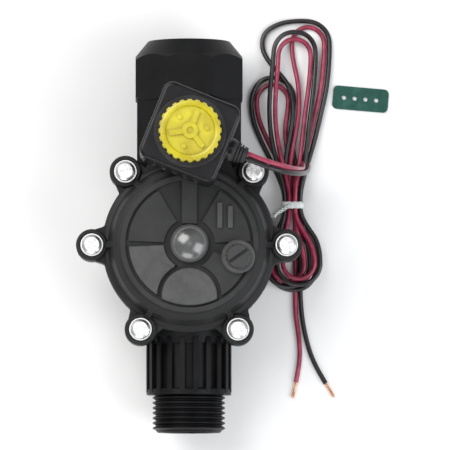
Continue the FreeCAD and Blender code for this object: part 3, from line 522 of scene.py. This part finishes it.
red, red_line, red_length = lead("red_wire", RED_ROUTE, red_mat, ["red_lead", "red_lead_tail", "lead_hank"])
black, black_line, black_length = lead("black_wire", BLACK_ROUTE, black_mat, ["black_lead", "black_lead_tail", "lead_hank"])
print("leads", round(red_length, 4), round(black_length, 4))


def stripped(name, route, cad_node, strands=7, length=7.0):
    """Bare twisted strands at a lead's end."""
    a, b = Vector(route[-2]), Vector(route[-1])
    d = (b - a).normalized()
    side = d.cross(Vector((0, 0, 1))).normalized()
    up = side.cross(d)
    bm = bmesh.new()
    for k in range(strands):
        ring_r = 0.0 if k == 0 else 0.40
        rad = 0.2
        phase = 2 * math.pi * (k - 1) / (strands - 1)
        extra = (0.0, 0.35, -0.2, 0.15, 0.5, -0.35, 0.1)[k]
        pts = []
        n = 22
        for i in range(n + 1):
            t = i / n
            a_ = phase + 2 * math.pi * 0.9 * t
            flare = 1.0 + 0.35 * max(0.0, t - 0.7) / 0.3
            pts.append(b - d * 1.2 + d * (1.2 + length + extra) * t + (side * math.cos(a_) + up * math.sin(a_)) * ring_r * flare)
        prev = None
        m_ = 8
        for i, p in enumerate(pts):
            q = pts[min(i + 1, n)] - pts[max(i - 1, 0)]
            q.normalize()
            u = q.cross(up).normalized()
            v = u.cross(q)
            ring = [bm.verts.new((p + (u * math.cos(2 * math.pi * j / m_) + v * math.sin(2 * math.pi * j / m_)) * rad) * MM) for j in range(m_)]
            if prev:
                for j in range(m_):
                    bm.faces.new((prev[j], prev[(j + 1) % m_], ring[(j + 1) % m_], ring[j]))
            else:
                bm.faces.new(list(reversed(ring)))
            prev = ring
        bm.faces.new(prev)
    bmesh.ops.recalc_face_normals(bm, faces=bm.faces)
    mesh = bpy.data.meshes.new(name)
    bm.to_mesh(mesh)
    bm.free()
    o = add_object(name, mesh, bare_mat)
    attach(o, "root")
    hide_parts(cad_node)
    return o


red_end = stripped("red_bare_end", RED_ROUTE, "stripped_ends")
black_end = stripped("black_bare_end", BLACK_ROUTE, "stripped_ends")

# ---- tie round the hank: a flat covered wire, once round, with its ends twisted -------------------------------------
bm = bmesh.new()
HALF_W, Z_LOW, Z_HIGH, CORNER = 4.85, 0.34, 10.05, 1.9


def band_point(t):
    """A point and outward direction on the rounded outline round the strands, t from 0 to 1."""
    w, hgt = HALF_W - CORNER, (Z_HIGH - Z_LOW) / 2 - CORNER
    zc = (Z_HIGH + Z_LOW) / 2
    arc = math.pi / 2 * CORNER
    legs = [2 * hgt, arc, 2 * w, arc, 2 * hgt, arc, 2 * w, arc]
    s = t * sum(legs)
    corner = [(w, hgt), (-w, hgt), (-w, -hgt), (w, -hgt)]
    straight = [((w + CORNER, -hgt), (0, 1)), ((w, hgt + CORNER), (-1, 0)), ((-w - CORNER, hgt), (0, -1)), ((-w, -hgt - CORNER), (1, 0))]
    normals = [(1, 0), (0, 1), (-1, 0), (0, -1)]
    for i in range(4):
        if s <= legs[2 * i]:
            (x, z), (dx, dz) = straight[i]
            return (x + dx * s, z + dz * s + zc), normals[i]
        s -= legs[2 * i]
        if s <= legs[2 * i + 1] or i == 3:
            a = math.pi / 2 * i + s / CORNER
            cx, cz = corner[i]
            return (cx + CORNER * math.cos(a), cz + CORNER * math.sin(a) + zc), (math.cos(a), math.sin(a))
        s -= legs[2 * i + 1]


STEPS = 96
rows = []
for i in range(STEPS):
    (x, z), (nx, nz) = band_point(i / STEPS)
    row = []
    wob = 0.10 * math.sin(i * 0.9) + 0.06 * math.sin(i * 2.3)
    for j, (v, th) in enumerate([(-1.55, 0.10), (-0.75, 0.13), (-0.35, 0.30), (0.0, 0.36), (0.35, 0.30), (0.75, 0.13), (1.55, 0.10)]):
        row.append(((HANK_X + x + nx * th), HANK_Y + v + wob, z + nz * th))
    for v, th in [(1.55, -0.06), (0.0, -0.12), (-1.55, -0.06)]:
        row.append(((HANK_X + x + nx * th), HANK_Y + v + wob, z + nz * th))
    rows.append([bm.verts.new((p[0] * MM, p[1] * MM, p[2] * MM)) for p in row])
for i in range(STEPS):
    a, b = rows[i], rows[(i + 1) % STEPS]
    for j in range(len(a)):
        k = (j + 1) % len(a)
        bm.faces.new((a[j], b[j], b[k], a[k]))
# twisted ends
base = Vector((HANK_X - 1.0, HANK_Y + 0.1, 10.25))
course = [Vector((0, 0, 0)), Vector((-1.2, -0.9, 0.75)), Vector((-3.6, -2.4, 1.35)), Vector((-6.2, -4.0, 2.0)), Vector((-8.2, -5.6, 3.1))]


def course_at(t):
    t = t * (len(course) - 1)
    i = min(int(t), len(course) - 2)
    f = t - i
    p0, p1 = course[i], course[i + 1]
    pm, pn = course[max(i - 1, 0)], course[min(i + 2, len(course) - 1)]
    return base + 0.5 * (2 * p0 + (p1 - pm) * f + (2 * pm - 5 * p0 + 4 * p1 - pn) * f * f + (3 * p0 - pm - 3 * p1 + pn) * f ** 3)


for strand in range(2):
    prev = None
    n = 70
    for i in range(n + 1):
        t = i / n
        p = course_at(t)
        d = (course_at(min(1, t + 0.02)) - course_at(max(0, t - 0.02))).normalized()
        u = d.cross(Vector((0, 0, 1))).normalized()
        v = d.cross(u)
        twist = 2 * math.pi * 3.2 * min(t, 0.82) + math.pi * strand
        out = (u * math.cos(twist) + v * math.sin(twist))
        wide = (d * 0.35 - u * math.sin(twist) + v * math.cos(twist)).normalized()
        splay = 0.36 + (0.9 * (t - 0.82) / 0.18 if t > 0.82 else 0)
        c_ = p + out * splay
        ring = [c_ + wide * 1.05 - out * 0.07, c_ + wide * 0.3 + out * 0.14, c_ - wide * 0.3 + out * 0.14, c_ - wide * 1.05 - out * 0.07, c_ - out * 0.16]
        ring = [bm.verts.new(q * MM) for q in ring]
        if prev:
            for j in range(5):
                bm.faces.new((prev[j], prev[(j + 1) % 5], ring[(j + 1) % 5], ring[j]))
        else:
            bm.faces.new(list(reversed(ring)))
        prev = ring
    bm.faces.new(prev)
bmesh.ops.recalc_face_normals(bm, faces=bm.faces)
mesh = bpy.data.meshes.new("twist_tie")
bm.to_mesh(mesh)
bm.free()
tie = add_object("twist_tie", mesh, tie_mat)
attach(tie, "root")
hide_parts("hank_tie")

# ---- station tag, from the CAD model a thin strip with four holes, slightly curled: its material --------------------
give(tag_mat, "station_tag")

# ---- floor, light, camera -----------------------------------------------------------------------------------------
bm = bmesh.new()
bmesh.ops.create_grid(bm, x_segments=8, y_segments=8, size=4.0)
mesh = bpy.data.meshes.new("floor")
bm.to_mesh(mesh)
bm.free()
floor = add_object("floor", mesh, None)
m = Mat("pale_floor", (0.80, 0.80, 0.80), 0.75)
m.color(m.ramp(m.noise(6.0, 3.0), (0.3, (0.785, 0.785, 0.785)), (0.7, (0.815, 0.815, 0.81))))
m.bump(m.noise(900.0, 2.0), 0.00004, 0.3)
mesh.materials.append(m.done())
floor.location = (0, 0, -0.00002)


def area(name, place, look, size, power, colour=(1, 1, 1)):
    light = bpy.data.lights.new(name, "AREA")
    light.shape = "RECTANGLE"
    light.size, light.size_y = size
    light.energy = power
    light.color = colour
    o = bpy.data.objects.new(name, light)
    bpy.context.scene.collection.objects.link(o)
    o.location = place
    o.rotation_mode = "QUATERNION"
    o.rotation_quaternion = (Vector(look) - Vector(place)).to_track_quat("-Z", "Y")
    return o


area("key", (-0.85, 0.80, 1.45), (0, 0, 0.03), (1.3, 1.3), 32.0, (1.0, 0.985, 0.965))
area("fill", (1.15, -0.55, 1.20), (0, 0, 0.03), (1.2, 1.2), 20.0, (0.95, 0.975, 1.0))
area("front", (-0.25, -1.4, 0.9), (0, 0, 0.05), (1.2, 0.6), 9.0)
area("overhead", (0.05, 0.10, 3.1), (0, 0, 0.05), (0.9, 0.9), 3.6)
world = bpy.data.worlds.new("studio")
world.use_nodes = True
world.node_tree.nodes["Background"].inputs["Color"].default_value = (0.93, 0.95, 1.0, 1)
world.node_tree.nodes["Background"].inputs["Strength"].default_value = 0.40
bpy.context.scene.world = world

camera_data = bpy.data.cameras.new("camera")
camera = bpy.data.objects.new("camera", camera_data)
bpy.context.scene.collection.objects.link(camera)
EYE, AIM = Vector((-0.016, -0.148, 2.60)), Vector((0.0165, 0.0105, 0.030))
camera.location = EYE
back = (EYE - AIM).normalized()
side = Vector((0, 1, 0)).cross(back).normalized()
top = back.cross(side)
camera.matrix_world = Matrix.Translation(EYE) @ Matrix((side, top, back)).transposed().to_4x4()
camera_data.sensor_width = 36.0
camera_data.lens = 36.0 * (EYE - AIM).length / 0.206
camera_data.clip_start, camera_data.clip_end = 0.05, 50
bpy.context.scene.camera = camera
bpy.context.scene.view_settings.view_transform = "Standard"
